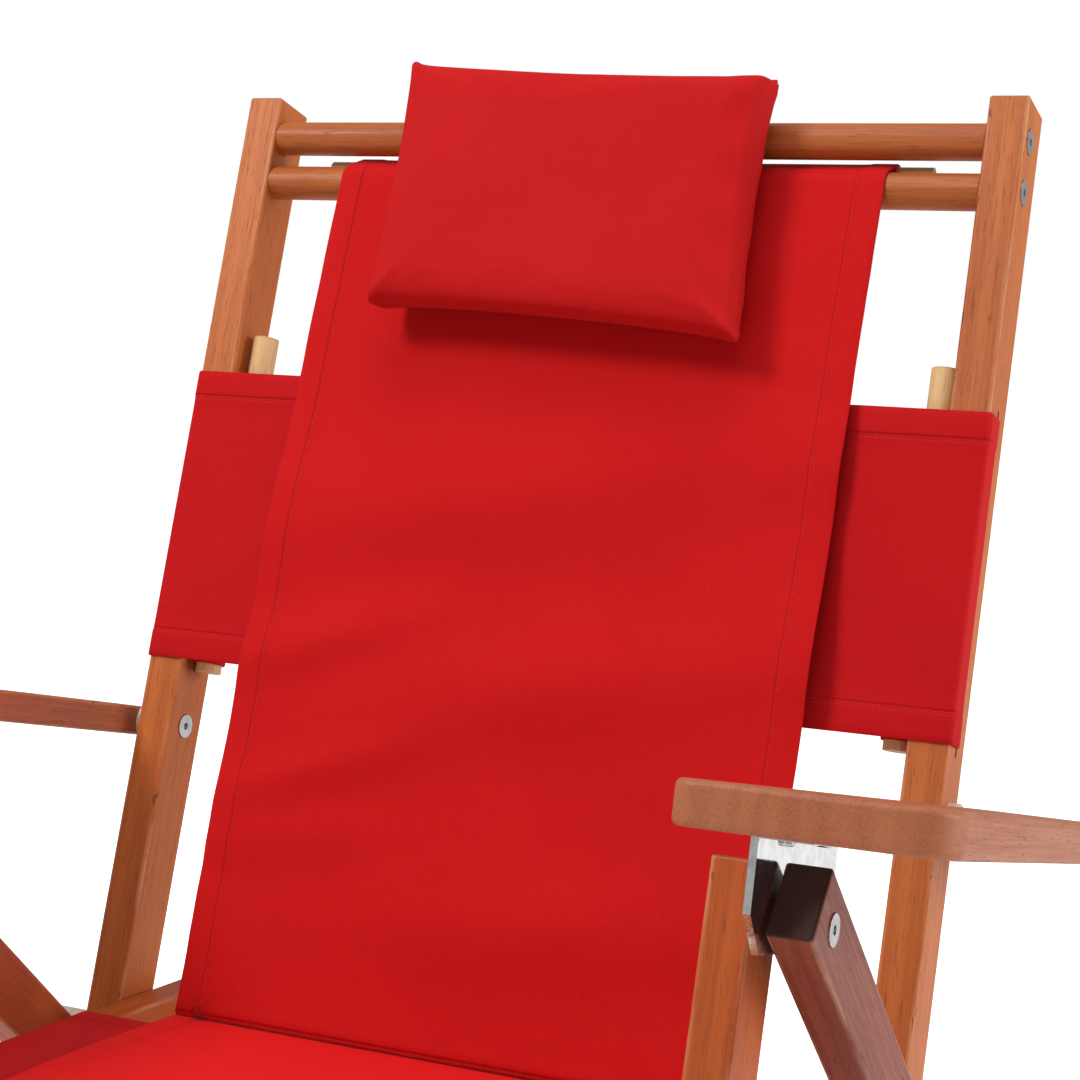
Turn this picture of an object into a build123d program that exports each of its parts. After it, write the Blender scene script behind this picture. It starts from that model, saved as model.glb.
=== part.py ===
from build123d import *
import copy
import math
import os

# A folding hardwood sling chair: two leaning back posts, a sloping seat, paddle arms and crossed legs.
# Millimetres and degrees. +Z is up, -Y is the front, X runs across, and the chair is symmetric about X = 0.
# It stands on Z = 0 and the origin is the middle of its footprint.

# Overall sizes
frame_gap = 542.0           # between the back posts' inner faces
arm_pivot_height = 462.5    # above the floor
post_top = 478.0            # from the arm pivot line to the post's top, along the post

# Lean of each frame from upright, positive towards the back
back_lean = 21.3
arm_lean = 16.7             # the arm is this steep, high at the front
seat_slope = 7.5
front_leg_lean = 20.2

# The four-bar linkage of arm, seat, back post and front leg
pivot_span = 349.0          # rear pivot to front pivot, on the arm and on the seat
link_length = 220.0         # upper pivot to lower pivot, on the post and on the leg
link_lean = 21.0

# Timber sections
post_width = 27.0
post_depth = 42.0
rail_width = 25.0
rail_depth = 44.0
front_leg_width = 25.0
front_leg_depth = 44.0
rear_leg_width = 24.5
rear_leg_depth = 42.0
arm_width = 126.0
arm_thickness = 21.0
arris = 2.0                 # rounding of the long timber edges
rail_diameter = 25.0        # round cross rails
stretcher_diameter = 22.0   # round leg stretchers

# Where things lie along the back post, from the arm pivot line
upper_rail_at = 450.0
sling_bar_at = 415.0
rail_set_in = 1.5           # a cross rail's front behind the post's front face
rail_setback = rail_set_in + rail_diameter / 2
band_bottom = 46.7
band_top = 262.5
post_foot = 21.0            # post below the seat pivot
back_bow = 3.0              # the sling bows forward of a straight line by this much

# Seat, measured forward from the seat pivot
seat_front_overhang = 76.0  # rail in front of the front pivot
seat_rear_overhang = 75.0   # rail behind the seat pivot
rail_above_pivot = 26.0     # rail's top face above the line of the pivots
front_rail_from_end = 22.0
crease_forward = 44.0
crease_above_rail = 4.0
crease_seam = 1.6           # between the two slings where they are sewn at the crease
seat_bow = 3.0
seat_band_start = 62.0
seat_band_length = 215.0
rear_rail_back = 50.0

# Fabric
fabric = 1.2
fabric_gap = 0.4            # between a cloth and the timber or cloth beside it
sling_half_width = 208.0
bar_spacing = 35.0          # sling bar to its neighbour, centre to centre

# Retaining rods in the hem pockets
sling_rod_diameter = 13.0
sling_rod_length = 464.0
band_rod_diameter = 19.0
band_rod_long = 32.0        # rod standing out of the pocket, at its far end
band_rod_short = 6.0
slot_width = 3.4
slot_end_room = 6.0         # slot longer than its band at each end
rod_behind_bar = 16.0
rod_past_bar = 16.0
wrap_over_bar = 10.0        # degrees past the bar's far side

# Arms
arm_behind_pivot = 58.0
arm_length = 526.0          # rear pivot to the front end
arm_gap = 7.5               # post's outer face to the arm's inner edge
arm_rear_width = 74.0
arm_inner_corner = 12.0
arm_outer_corner = 24.0
arm_edge_round = 3.5
taper_from = 250.0          # in front of the rear pivot, where the arm starts to narrow

# Brackets under the arms
bracket_thickness = 4.0
bracket_foot_width = 32.0
bracket_front = 51.0        # in front of the front pivot
bracket_back = 83.0         # behind the front pivot
bracket_below = 15.5        # below the front pivot
bracket_corner = 20.0
bracket_screw_places = (36.0, -25.0, -69.0)
bracket_screw_inset = 13.0   # from the bracket's upright face
pan_head_diameter = 8.5
pan_head_height = 2.6
wood_screw_diameter = 4.0
wood_screw_length = 14.0

# Legs
front_leg_above = 28.5      # leg above the front pivot
rear_leg_above = 25.0
front_stretcher_below = 250.0   # below the leg's seat pivot
rear_stretcher_along = 620.0    # from the front pivot
shoulder_step = 2.0         # the rear leg is this much shallower below the sleeve
shoulder_above_sleeve = 7.5
shoulder_slope = 3.0
shoulder_play = 0.1
leg_below_floor = 40.0      # rough length that the level foot cut takes off
foot_cut_reach = 1000.0     # half the side of the block that makes the cut

# Bolts, nuts, washers and sleeves
head_diameter = 17.0
head_thickness = 2.4
head_recess = 1.6
recess_play = 0.6
hex_key = 5.0
hex_depth = 1.8
bolt_diameter = 6.0
pivot_bolt_diameter = 8.0
running_gap = 0.05          # radial, pin in hole
bolt_in_dowel = 34.0
open_pivot_gap = 0.3        # radial, bracket on its bolt
washer_diameter = 25.0
small_washer_diameter = 20.0
sleeve_diameter = 16.0
sleeve_end_gap = 0.4
sleeve_past_leg = 2.0
nut_width = 13.0            # across flats
nut_bolt_end = 2.0          # bolt standing out of its nut
nut_thickness = 6.0
nut_recess = 16.0           # round recess that a sunk nut lies in
nut_sink = 0.5              # sunk nut below the leg's face
barrel_diameter = 14.0
barrel_length = 16.0
barrel_from_edge = 30.0     # from the arm's inner edge
bolt_in_arm = 44.0
rail_play = 2.2             # seat rail to back post
leg_set_out = 1.0           # front leg outside the post's inner face
flange_play = 5.0           # front leg to bracket
leg_play = 2.0              # bracket to rear leg
face_play = 0.1             # either side of a washer

# Pillow
pillow_width = 281.0
pillow_height = 178.0
pillow_thickness = 46.0
pillow_middle = 386.0       # along the back post
pillow_tilt = 1.05          # more than the sling's own slope, in degrees
pillow_clear = 1.8          # from the sling to the pillow's back, at its middle
pillow_edge = 15.0
loop_width = 38.0
loop_half_spacing = 84.0
loop_play = 0.3
loop_thickness = 1.3
loop_tab = 6.0

# Layers across the chair, from the middle outwards
post_inner = frame_gap / 2
post_outer = post_inner + post_width
rail_outer = post_inner - rail_play
rail_inner = rail_outer - rail_width
front_leg_inner = post_inner + leg_set_out
front_leg_outer = front_leg_inner + front_leg_width
flange_inner = front_leg_outer + flange_play
flange_outer = flange_inner + bracket_thickness
rear_leg_inner = flange_outer + leg_play
rear_leg_outer = rear_leg_inner + rear_leg_width
arm_inner = post_outer + arm_gap
arm_outer = arm_inner + arm_width


def polar(length, lean):
    """A (y, z) step of this length, leaning back from upright."""
    angle = math.radians(lean)
    return (length * math.sin(angle), length * math.cos(angle))


def add(a, b):
    return (a[0] + b[0], a[1] + b[1])


def frame_at(point, lean):
    """A member's frame: local X across, local Y out of its back, local Z up along it."""
    angle = math.radians(lean)
    return Plane(origin=(0, point[0], point[1]), x_dir=(1, 0, 0), z_dir=(0, math.sin(angle), math.cos(angle)))


def in_frame(point, origin, lean):
    """Local (y, z) of a point in a member's frame."""
    angle = math.radians(lean)
    dy = point[0] - origin[0]
    dz = point[1] - origin[1]
    return (dy * math.cos(angle) - dz * math.sin(angle), dy * math.sin(angle) + dz * math.cos(angle))


# Pivots as (y, z)
arm_pivot = (0.0, arm_pivot_height)
front_pivot = add(arm_pivot, polar(pivot_span, seat_slope - 90))
seat_pivot = add(arm_pivot, polar(-link_length, link_lean))
leg_pivot = add(front_pivot, polar(-link_length, link_lean))

# The back frame's origin is on the post's front face, level with the arm pivot.
# In the seat frame local Y points down from the seat and local Z points to the rear.
back_origin = add(arm_pivot, polar(-post_depth / 2, back_lean + 90))
seat_lean = 90 + seat_slope
rail_top = -rail_above_pivot


def rear_leg_lean():
    """The lean that lays the rear leg's upper edge on the sleeve round the seat pivot."""
    reach = rear_leg_depth / 2 - shoulder_step + sleeve_diameter / 2 + shoulder_play
    dy = seat_pivot[0] - front_pivot[0]
    dz = seat_pivot[1] - front_pivot[1]
    return -(math.degrees(math.acos(reach / math.hypot(dy, dz))) + math.degrees(math.atan2(dz, dy)))


leg_lean = rear_leg_lean()
front_leg_length = front_pivot[1] / math.cos(math.radians(front_leg_lean))
rear_leg_length = front_pivot[1] / math.cos(math.radians(leg_lean))

back = frame_at(back_origin, back_lean)
seat = frame_at(seat_pivot, seat_lean)
arm = frame_at(arm_pivot, arm_lean)
front_leg = frame_at(front_pivot, front_leg_lean)
rear_leg = frame_at(front_pivot, leg_lean)

seat_pivot_on_post = in_frame(seat_pivot, back_origin, back_lean)
leg_pivot_on_leg = in_frame(leg_pivot, front_pivot, front_leg_lean)
sleeve_on_leg = in_frame(seat_pivot, front_pivot, leg_lean)
front_pivot_on_arm = in_frame(front_pivot, arm_pivot, arm_lean)

parts = {}


def keep(name, shape, place):
    parts[name] = place.location * shape


def keep_pair(name, shape, place):
    """The right-hand piece and its mirror image, each a node of its own."""
    keep("right_" + name, shape, place)
    keep("left_" + name, mirror(shape, Plane.YZ), place)


def keep_both(name, shapes, place):
    """Right-hand pieces and their mirror images, all in one node."""
    keep(name, Compound(children=shapes + [mirror(shape, Plane.YZ) for shape in shapes]), place)


def block(x, y, z):
    """A box between pairs of x, y and z."""
    centre = ((x[0] + x[1]) / 2, (y[0] + y[1]) / 2, (z[0] + z[1]) / 2)
    return Pos(*centre) * Box(x[1] - x[0], y[1] - y[0], z[1] - z[0])


def across(x, y, z, diameter):
    """A round bar along X between the two values of x."""
    return Pos((x[0] + x[1]) / 2, y, z) * Rot(0, 90, 0) * Cylinder(diameter / 2, abs(x[1] - x[0]))


def ring(x, y, z, outer, inner):
    return across(x, y, z, outer) - across(x, y, z, inner)


def timber(x, y, z):
    """A square-sawn member along local Z with all its edges rounded."""
    return fillet(block(x, y, z).edges(), arris)


def bolt(x_face, x_tip, y, z, diameter):
    """A flat-headed bolt along X, its head let into the timber at x_face, with a hex socket."""
    way = 1 if x_tip > x_face else -1
    top = x_face + way * (head_recess - head_thickness)
    under = top + way * head_thickness
    socket = Pos(top, y, z) * Rot(0, 90 * way, 0) * extrude(RegularPolygon(hex_key / 2, 6, False), hex_depth)
    return across((top, under), y, z, head_diameter) + across((under, x_tip), y, z, diameter) - socket


def nut(x, y, z, diameter):
    """A hexagon nut between the two values of x."""
    blank = Pos(min(x), y, z) * Rot(0, 90, 0) * extrude(RegularPolygon(nut_width / 2, 6, False), nut_thickness)
    return blank - across((x[0] - 1, x[1] + 1), y, z, diameter + 2 * running_gap)


def washer(x, y, z, outer, diameter):
    """A washer filling the space between two faces, with a little play each side."""
    return ring((x[0] + face_play, x[1] - face_play), y, z, outer, diameter + 2 * running_gap)


def head_seat(x_face, inwards, y, z):
    """The shallow round recess that a head lies in."""
    return across((x_face - inwards, x_face + inwards * head_recess), y, z, head_diameter + recess_play)


def hole(x, y, z, diameter):
    """A running hole through a member between the two values of x."""
    return across((x[0] - 1, x[1] + 1), y, z, diameter + 2 * running_gap)


def stand_pair(name, shape, place):
    """A pair of legs with their feet cut level at the floor."""
    keep_pair(name, shape, place)
    reach = (-foot_cut_reach, foot_cut_reach)
    for side in ("left_", "right_"):
        parts[side + name] -= block(reach, reach, (-foot_cut_reach, 0))


# ---- Back frame ----

def back_post():
    """The right back post: band slot, bolt seats and the holes for its two pivots."""
    foot = seat_pivot_on_post[1] - post_foot
    span = (post_inner, post_outer)
    middle = post_depth / 2
    post = timber(span, (0, post_depth), (foot, post_top))
    post -= block(
        (post_inner - 1, post_outer + 1),
        (middle - slot_width / 2, middle + slot_width / 2),
        (band_bottom - slot_end_room, band_top + slot_end_room),
    )
    for height in (upper_rail_at, sling_bar_at):
        post -= hole(span, rail_setback, height, bolt_diameter)
        post -= head_seat(post_outer, -1, rail_setback, height)
    post -= hole(span, middle, 0, pivot_bolt_diameter)
    post -= head_seat(post_inner, 1, middle, 0)
    post -= hole(span, seat_pivot_on_post[0], seat_pivot_on_post[1], pivot_bolt_diameter)
    return post


def cross_rail(half_length, y, z, diameter):
    """A round rail along X with a bolt hole up each end."""
    bores = [across((half_length - bolt_in_dowel - 1, half_length + 1), y, z, bolt_diameter + 2 * running_gap)]
    bores.append(mirror(bores[0], Plane.YZ))
    return across((-half_length, half_length), y, z, diameter) - bores


def rod_place(bar):
    """Centre of the retaining rod, in the valley behind the bar and its neighbour."""
    return (bar[0] + rod_behind_bar, bar[1] + rod_past_bar)


def sling(bar, start, bow):
    """A sling from start to the bar, over it, and into the pocket round its retaining rod.

    The bar lies further along local Z than start. The cloth is its own thickness all along its run.
    """
    radius = rail_diameter / 2 + fabric_gap + fabric / 2
    pocket = sling_rod_diameter / 2 + fabric_gap + fabric / 2
    rod = rod_place(bar)
    front = (bar[0] - radius, bar[1])
    middle = ((start[0] + front[0]) / 2 - bow, (start[1] + front[1]) / 2)
    turn = math.radians(wrap_over_bar)
    top = (bar[0] - radius * math.sin(math.radians(45)), bar[1] + radius * math.cos(math.radians(45)))
    off = (bar[0] + radius * math.sin(turn), bar[1] + radius * math.cos(turn))
    facing = math.atan2(off[1] - rod[1], off[0] - rod[0])
    meet = (rod[0] + pocket * math.cos(facing), rod[1] + pocket * math.sin(facing))
    section = Pos(*rod) * (Circle(pocket + fabric / 2) - Circle(pocket - fabric / 2))
    for run in (ThreePointArc(start, middle, front), ThreePointArc(front, top, off), Line(off, meet)):
        section += trace(run, fabric)
    return extrude(Plane.YZ * section, sling_half_width, both=True)


def sling_rod(bar):
    rod = rod_place(bar)
    return across((-sling_rod_length / 2, sling_rod_length / 2), rod[0], rod[1], sling_rod_diameter)


def band_rod_x(inner):
    return inner - face_play - fabric - fabric_gap - band_rod_diameter / 2


def band(inner, outer, face, slot, z):
    """A band across two members: round their outer faces, in through the slots and into pockets.

    inner and outer are the members' x, face and slot are local y, and z is the band's two edges.
    """
    off = fabric_gap + fabric / 2
    pocket = band_rod_diameter / 2 + fabric_gap + fabric / 2
    rod_x = band_rod_x(inner)
    half = [(rod_x + pocket, slot), (outer + off, slot), (outer + off, face - off)]
    route = half + [(-x, y) for x, y in reversed(half)]
    section = trace(FilletPolyline(*route, radius=fabric), fabric)
    for way in (-1, 1):
        section += Pos(way * rod_x, slot) * (Circle(pocket + fabric / 2) - Circle(pocket - fabric / 2))
    return Pos(0, 0, z[0]) * extrude(section, z[1] - z[0])


def band_rod(inner, slot, z, below, above):
    """The rod in a band's pocket, standing out of it by below and above."""
    middle = (z[0] - below + z[1] + above) / 2
    return Pos(band_rod_x(inner), slot, middle) * Cylinder(band_rod_diameter / 2, z[1] - z[0] + below + above)


def bar_bolts(outer, inner, places):
    """Bolts through a member into the ends of its cross bars."""
    return [bolt(outer, inner - bolt_in_dowel, y, z, bolt_diameter) for y, z in places]


upper_rail = (rail_setback, upper_rail_at)
sling_bar = (rail_setback, sling_bar_at)
band_span = (band_bottom, band_top)
band_slot = post_depth / 2

keep_pair("back_post", back_post(), back)
keep("upper_back_rail", cross_rail(post_inner, *upper_rail, rail_diameter), back)
keep("sling_bar", cross_rail(post_inner, *sling_bar, rail_diameter), back)
keep_both("back_rail_bolts", bar_bolts(post_outer, post_inner, (upper_rail, sling_bar)), back)

# The slings meet at the crease in front of the seat pivot
crease = (rail_top - crease_above_rail, -crease_forward)
crease_in_world = add(add(seat_pivot, polar(crease[1], seat_lean)), polar(-crease[0], seat_lean - 90))
crease_on_back = in_frame(crease_in_world, back_origin, back_lean)
keep("back_sling", sling(sling_bar, (crease_on_back[0], crease_on_back[1] + crease_seam), back_bow), back)
keep("back_sling_rod", sling_rod(sling_bar), back)
keep("back_band", band(post_inner, post_outer, 0, band_slot, band_span), back)
keep_pair("back_band_rod", band_rod(post_inner, band_slot, band_span, band_rod_short, band_rod_long), back)

keep_both("arm_pivot_bolts", [bolt(post_inner, arm_inner + bolt_in_arm, band_slot, 0, pivot_bolt_diameter)], back)
keep_both("arm_pivot_washers", [washer((post_outer, arm_inner), band_slot, 0, washer_diameter, pivot_bolt_diameter)], back)


# ---- Pillow ----

def pillow():
    """The head pillow, lying against the sling."""
    body = fillet(Box(pillow_width, pillow_thickness, pillow_height).edges(), pillow_edge)
    sling_top = rail_set_in - fabric_gap - fabric / 2
    slope = math.atan2(sling_top - crease_on_back[0], sling_bar_at - crease_on_back[1])
    sling_face = sling_top - (sling_bar_at - pillow_middle) * math.tan(slope) - fabric / 2
    middle = sling_face - pillow_clear - pillow_thickness / 2
    return Pos(0, middle, pillow_middle) * Rot(-math.degrees(slope) - pillow_tilt, 0, 0) * body


def pillow_loop(x):
    """A cloth loop from the pillow's back, round the upper rail."""
    y, z = upper_rail
    span = (x - loop_width / 2, x + loop_width / 2)
    inner = rail_diameter / 2 + loop_play
    outer = inner + loop_thickness
    tab = block(span, (y - outer - loop_tab, y - inner), (z - loop_tab, z + loop_tab))
    return across(span, y, z, 2 * outer) + tab - across(span, y, z, 2 * inner) - pillow()


keep("pillow", pillow(), back)
keep_both("pillow_loops", [pillow_loop(loop_half_spacing)], back)


# ---- Seat frame ----

front_bar = (rail_top + rail_setback, -(pivot_span + seat_front_overhang - front_rail_from_end))
seat_sling_bar = (front_bar[0], front_bar[1] + bar_spacing)
rear_bar = (0, rear_rail_back)
seat_band_span = (-seat_band_start - seat_band_length, -seat_band_start)
seat_band_slot = rail_top + rail_depth / 2
leg_pivot_on_rail = (0, -pivot_span)

# The seat sling is drawn looking forward: the same frame turned half round about its local Y
seat_forward = Plane(origin=seat.origin, x_dir=(-1, 0, 0), z_dir=-seat.z_dir)


def seat_rail():
    """The right seat rail: band slot, bolt seats and the holes for its two pivots."""
    span = (rail_inner, rail_outer)
    ends = (-pivot_span - seat_front_overhang, seat_rear_overhang)
    rail = timber(span, (rail_top, rail_top + rail_depth), ends)
    rail -= block(
        (rail_inner - 1, rail_outer + 1),
        (seat_band_slot - slot_width / 2, seat_band_slot + slot_width / 2),
        (seat_band_span[0] - slot_end_room, seat_band_span[1] + slot_end_room),
    )
    for y, z in (front_bar, seat_sling_bar, rear_bar):
        rail -= hole(span, y, z, bolt_diameter)
        rail -= head_seat(rail_outer, -1, y, z)
    for y, z in ((0, 0), leg_pivot_on_rail):
        rail -= hole(span, y, z, pivot_bolt_diameter)
    return rail - head_seat(rail_inner, 1, 0, 0)


keep_pair("seat_rail", seat_rail(), seat)
keep("front_seat_rail", cross_rail(rail_inner, *front_bar, rail_diameter), seat)
keep("seat_sling_bar", cross_rail(rail_inner, *seat_sling_bar, rail_diameter), seat)
keep("rear_seat_rail", cross_rail(rail_inner, *rear_bar, stretcher_diameter), seat)
keep_both("seat_rail_bolts", bar_bolts(rail_outer, rail_inner, (front_bar, seat_sling_bar, rear_bar)), seat)

forward_bar = (seat_sling_bar[0], -seat_sling_bar[1])
keep("seat_sling", sling(forward_bar, (crease[0], -crease[1]), seat_bow), seat_forward)
keep("seat_sling_rod", sling_rod(forward_bar), seat_forward)
keep("seat_band", band(rail_inner, rail_outer, rail_top, seat_band_slot, seat_band_span), seat)
keep_pair("seat_band_rod", band_rod(rail_inner, seat_band_slot, seat_band_span, band_rod_long, band_rod_short), seat)

# Seat pivot: one bolt through rail, washer, post and the sleeve that the rear leg rests under
sleeve_span = (post_outer + sleeve_end_gap, rear_leg_outer + sleeve_past_leg)
seat_nut = (sleeve_span[1] + face_play, sleeve_span[1] + face_play + nut_thickness)
keep_both("seat_pivot_bolts", [bolt(rail_inner, seat_nut[1] + nut_bolt_end, 0, 0, pivot_bolt_diameter)], seat)
keep_both("seat_pivot_washers", [washer((rail_outer, post_inner), 0, 0, washer_diameter, pivot_bolt_diameter)], seat)
keep_both(
    "seat_pivot_sleeves",
    [ring(sleeve_span, 0, 0, sleeve_diameter, pivot_bolt_diameter + 2 * running_gap)],
    seat,
)
keep_both("seat_pivot_nuts", [nut(seat_nut, 0, 0, pivot_bolt_diameter)], seat)

# Seat to front leg
rail_nut = (rail_inner - face_play - nut_thickness, rail_inner - face_play)
keep_both(
    "seat_front_bolts",
    [bolt(front_leg_outer, rail_nut[0] - nut_bolt_end, *leg_pivot_on_rail, pivot_bolt_diameter)],
    seat,
)
keep_both(
    "seat_front_washers",
    [washer((rail_outer, front_leg_inner), *leg_pivot_on_rail, small_washer_diameter, pivot_bolt_diameter)],
    seat,
)
keep_both("seat_front_nuts", [nut(rail_nut, *leg_pivot_on_rail, pivot_bolt_diameter)], seat)


# ---- Front legs ----

front_stretcher = (0, -link_length - front_stretcher_below)
leg_nut = (front_leg_inner + nut_sink, front_leg_inner + nut_sink + nut_thickness)


def front_leg_timber():
    """The right front leg, with holes for its two pivots and its stretcher's bolt."""
    span = (front_leg_inner, front_leg_outer)
    half = front_leg_depth / 2
    leg = timber(span, (-half, half), (-front_leg_length - leg_below_floor, front_leg_above))
    leg -= hole(span, 0, 0, pivot_bolt_diameter)
    leg -= across((front_leg_inner - 1, leg_nut[1] + face_play), 0, 0, nut_recess)
    leg -= hole(span, *leg_pivot_on_leg, pivot_bolt_diameter)
    leg -= head_seat(front_leg_outer, -1, *leg_pivot_on_leg)
    leg -= hole(span, *front_stretcher, bolt_diameter)
    return leg - head_seat(front_leg_outer, -1, *front_stretcher)


stand_pair("front_leg", front_leg_timber(), front_leg)
keep("front_stretcher", cross_rail(front_leg_inner, *front_stretcher, stretcher_diameter), front_leg)
keep_both("front_stretcher_bolts", bar_bolts(front_leg_outer, front_leg_inner, [front_stretcher]), front_leg)

# The bolt that joins both legs and carries the arm's bracket
keep_both("cross_pivot_bolts", [bolt(rear_leg_outer, leg_nut[0], 0, 0, pivot_bolt_diameter)], front_leg)
keep_both("cross_pivot_nuts", [nut(leg_nut, 0, 0, pivot_bolt_diameter)], front_leg)
for name, gap in (("inner", (front_leg_outer, flange_inner)), ("outer", (flange_outer, rear_leg_inner))):
    spacer = washer(gap, 0, 0, washer_diameter, pivot_bolt_diameter)
    keep_both("cross_pivot_" + name + "_washers", [spacer], front_leg)


# ---- Rear legs ----

rear_stretcher = (0, -rear_stretcher_along)


def rear_leg_timber():
    """The right rear leg, stepped where it rests under the sleeve."""
    span = (rear_leg_inner, rear_leg_outer)
    half = rear_leg_depth / 2
    shoulder = sleeve_on_leg[1] + shoulder_above_sleeve
    leg = timber(span, (-half, half), (-rear_leg_length - leg_below_floor, rear_leg_above))
    cut = Polygon(
        (half + 1, shoulder + shoulder_slope),
        (half, shoulder + shoulder_slope),
        (half - shoulder_step, shoulder),
        (half - shoulder_step, -rear_leg_length - leg_below_floor - 1),
        (half + 1, -rear_leg_length - leg_below_floor - 1),
        align=None,
    )
    leg -= extrude(Plane.YZ * cut, 2 * rear_leg_outer)
    leg -= hole(span, 0, 0, pivot_bolt_diameter)
    leg -= head_seat(rear_leg_outer, -1, 0, 0)
    leg -= hole(span, *rear_stretcher, bolt_diameter)
    return leg - head_seat(rear_leg_outer, -1, *rear_stretcher)


stand_pair("rear_leg", rear_leg_timber(), rear_leg)
keep("rear_stretcher", cross_rail(rear_leg_inner, *rear_stretcher, stretcher_diameter), rear_leg)
keep_both("rear_stretcher_bolts", bar_bolts(rear_leg_outer, rear_leg_inner, [rear_stretcher]), rear_leg)


# ---- Arms ----

arm_under = -arm_thickness / 2
bracket_y = (front_pivot_on_arm[0] - bracket_front, front_pivot_on_arm[0] + bracket_back)
screw_x = flange_inner + bracket_screw_inset
screws = [(screw_x, front_pivot_on_arm[0] - place) for place in bracket_screw_places]
barrel_x = arm_inner + barrel_from_edge


def upright(x, y, z, diameter):
    """A round bar square to the arm's face, between the two values of z."""
    return Pos(x, y, (z[0] + z[1]) / 2) * Cylinder(diameter / 2, abs(z[1] - z[0]))


def arm_board():
    """The right arm: a paddle in plan, broad at the front and narrowed towards the rear pivot."""
    rear = arm_behind_pivot
    waist = arm_inner + arm_rear_width
    outline = [
        Polyline((waist, rear), (arm_inner, rear), (arm_inner, -arm_length)),
        Polyline((arm_inner, -arm_length), (arm_outer, -arm_length), (arm_outer, -taper_from)),
        Spline((arm_outer, -taper_from), (waist, rear), tangents=((0, 1), (0, 1))),
    ]
    plan = make_face(Curve() + outline)
    plan = fillet(plan.vertices().group_by(Axis.Y)[0].sort_by(Axis.X)[-1], arm_outer_corner)
    for corner in ((arm_inner, -arm_length), (arm_inner, rear), (waist, rear)):
        near = plan.vertices().sort_by_distance((corner[0], corner[1], 0))[0]
        plan = fillet(near, arm_inner_corner)
    board = extrude(plan, arm_thickness / 2, both=True)
    board = fillet(board.faces().filter_by(Axis.Z).edges(), arm_edge_round)
    board -= across((arm_inner - 1, arm_inner + bolt_in_arm + 1), 0, 0, pivot_bolt_diameter + 2 * running_gap)
    board -= upright(barrel_x, 0, (arm_under - 1, arm_under + barrel_length), barrel_diameter + 2 * running_gap)
    for x, y in screws:
        top = arm_under - bracket_thickness + wood_screw_length + 1
        board -= upright(x, y, (arm_under - 1, top), wood_screw_diameter + 2 * running_gap)
    return board


def bracket():
    """An angle plate: its foot is screwed under the arm and its upright face takes the leg bolt."""
    low = front_pivot_on_arm[1] - bracket_below
    face = Polygon(
        (bracket_y[0], arm_under),
        (bracket_y[0], low + bracket_corner),
        (bracket_y[0] + bracket_corner, low),
        (bracket_y[1] - bracket_corner, low),
        (bracket_y[1], low + bracket_corner),
        (bracket_y[1], arm_under),
        align=None,
    )
    plate = Pos(flange_inner, 0, 0) * extrude(Plane.YZ * face, bracket_thickness)
    plate += block(
        (flange_inner, flange_inner + bracket_foot_width),
        bracket_y,
        (arm_under - bracket_thickness, arm_under),
    )
    plate -= across((flange_inner - 1, flange_outer + 1), *front_pivot_on_arm, pivot_bolt_diameter + 2 * open_pivot_gap)
    for x, y in screws:
        span = (arm_under - bracket_thickness - 1, arm_under + 1)
        plate -= upright(x, y, span, wood_screw_diameter + 2 * running_gap)
    return plate


def bracket_screw(x, y):
    under = arm_under - bracket_thickness
    head = upright(x, y, (under - pan_head_height, under), pan_head_diameter)
    head = fillet(head.edges().group_by(Axis.Z)[0], pan_head_height / 2)
    return head + upright(x, y, (under, under + wood_screw_length), wood_screw_diameter)


def barrel_nut():
    barrel = upright(barrel_x, 0, (arm_under, arm_under + barrel_length), barrel_diameter)
    return barrel - across((arm_inner, arm_inner + bolt_in_arm), 0, 0, pivot_bolt_diameter + 2 * running_gap)


keep_pair("arm", arm_board(), arm)
keep_pair("bracket", bracket(), arm)
keep_pair("bracket_screws", Compound(children=[bracket_screw(*place) for place in screws]), arm)
keep_pair("barrel_nut", barrel_nut(), arm)


# ---- Origin in the middle of the footprint, and export ----

box = Compound(children=[copy.copy(shape) for shape in parts.values()]).bounding_box()
shift = -(box.min.Y + box.max.Y) / 2

if __name__ == "__main__":
    os.makedirs("parts", exist_ok=True)
    for name, shape in parts.items():
        export_step(Pos(0, shift, 0) * shape, "parts/" + name + ".step")
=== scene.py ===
import math
import bpy
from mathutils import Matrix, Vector, noise


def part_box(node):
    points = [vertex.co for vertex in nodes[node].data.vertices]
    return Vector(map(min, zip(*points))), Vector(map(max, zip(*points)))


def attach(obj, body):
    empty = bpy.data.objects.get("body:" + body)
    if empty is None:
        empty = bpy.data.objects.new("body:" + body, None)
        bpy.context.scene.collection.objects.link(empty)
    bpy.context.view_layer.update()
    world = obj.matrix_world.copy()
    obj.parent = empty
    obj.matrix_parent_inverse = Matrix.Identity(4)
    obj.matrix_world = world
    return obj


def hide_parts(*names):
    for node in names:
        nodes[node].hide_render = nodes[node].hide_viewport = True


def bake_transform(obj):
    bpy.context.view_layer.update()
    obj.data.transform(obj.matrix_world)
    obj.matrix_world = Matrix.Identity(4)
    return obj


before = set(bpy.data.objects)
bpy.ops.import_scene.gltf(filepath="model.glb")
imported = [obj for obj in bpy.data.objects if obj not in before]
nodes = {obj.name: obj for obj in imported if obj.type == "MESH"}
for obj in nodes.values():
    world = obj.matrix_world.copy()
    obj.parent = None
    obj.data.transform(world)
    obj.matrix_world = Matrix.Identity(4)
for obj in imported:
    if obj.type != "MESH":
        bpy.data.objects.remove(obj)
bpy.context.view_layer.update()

print("loaded", len(nodes), "nodes")

# lean of each run of timber from upright, in degrees, positive towards the back
leans = {"back": 21.3, "seat": 97.5, "frontLeg": 20.2, "rearLeg": -42.55, "arm": 106.7, "pillow": 24.7}


def middleOf(node):
    low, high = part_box(node)
    return (Vector(low) + Vector(high)) / 2


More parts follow.
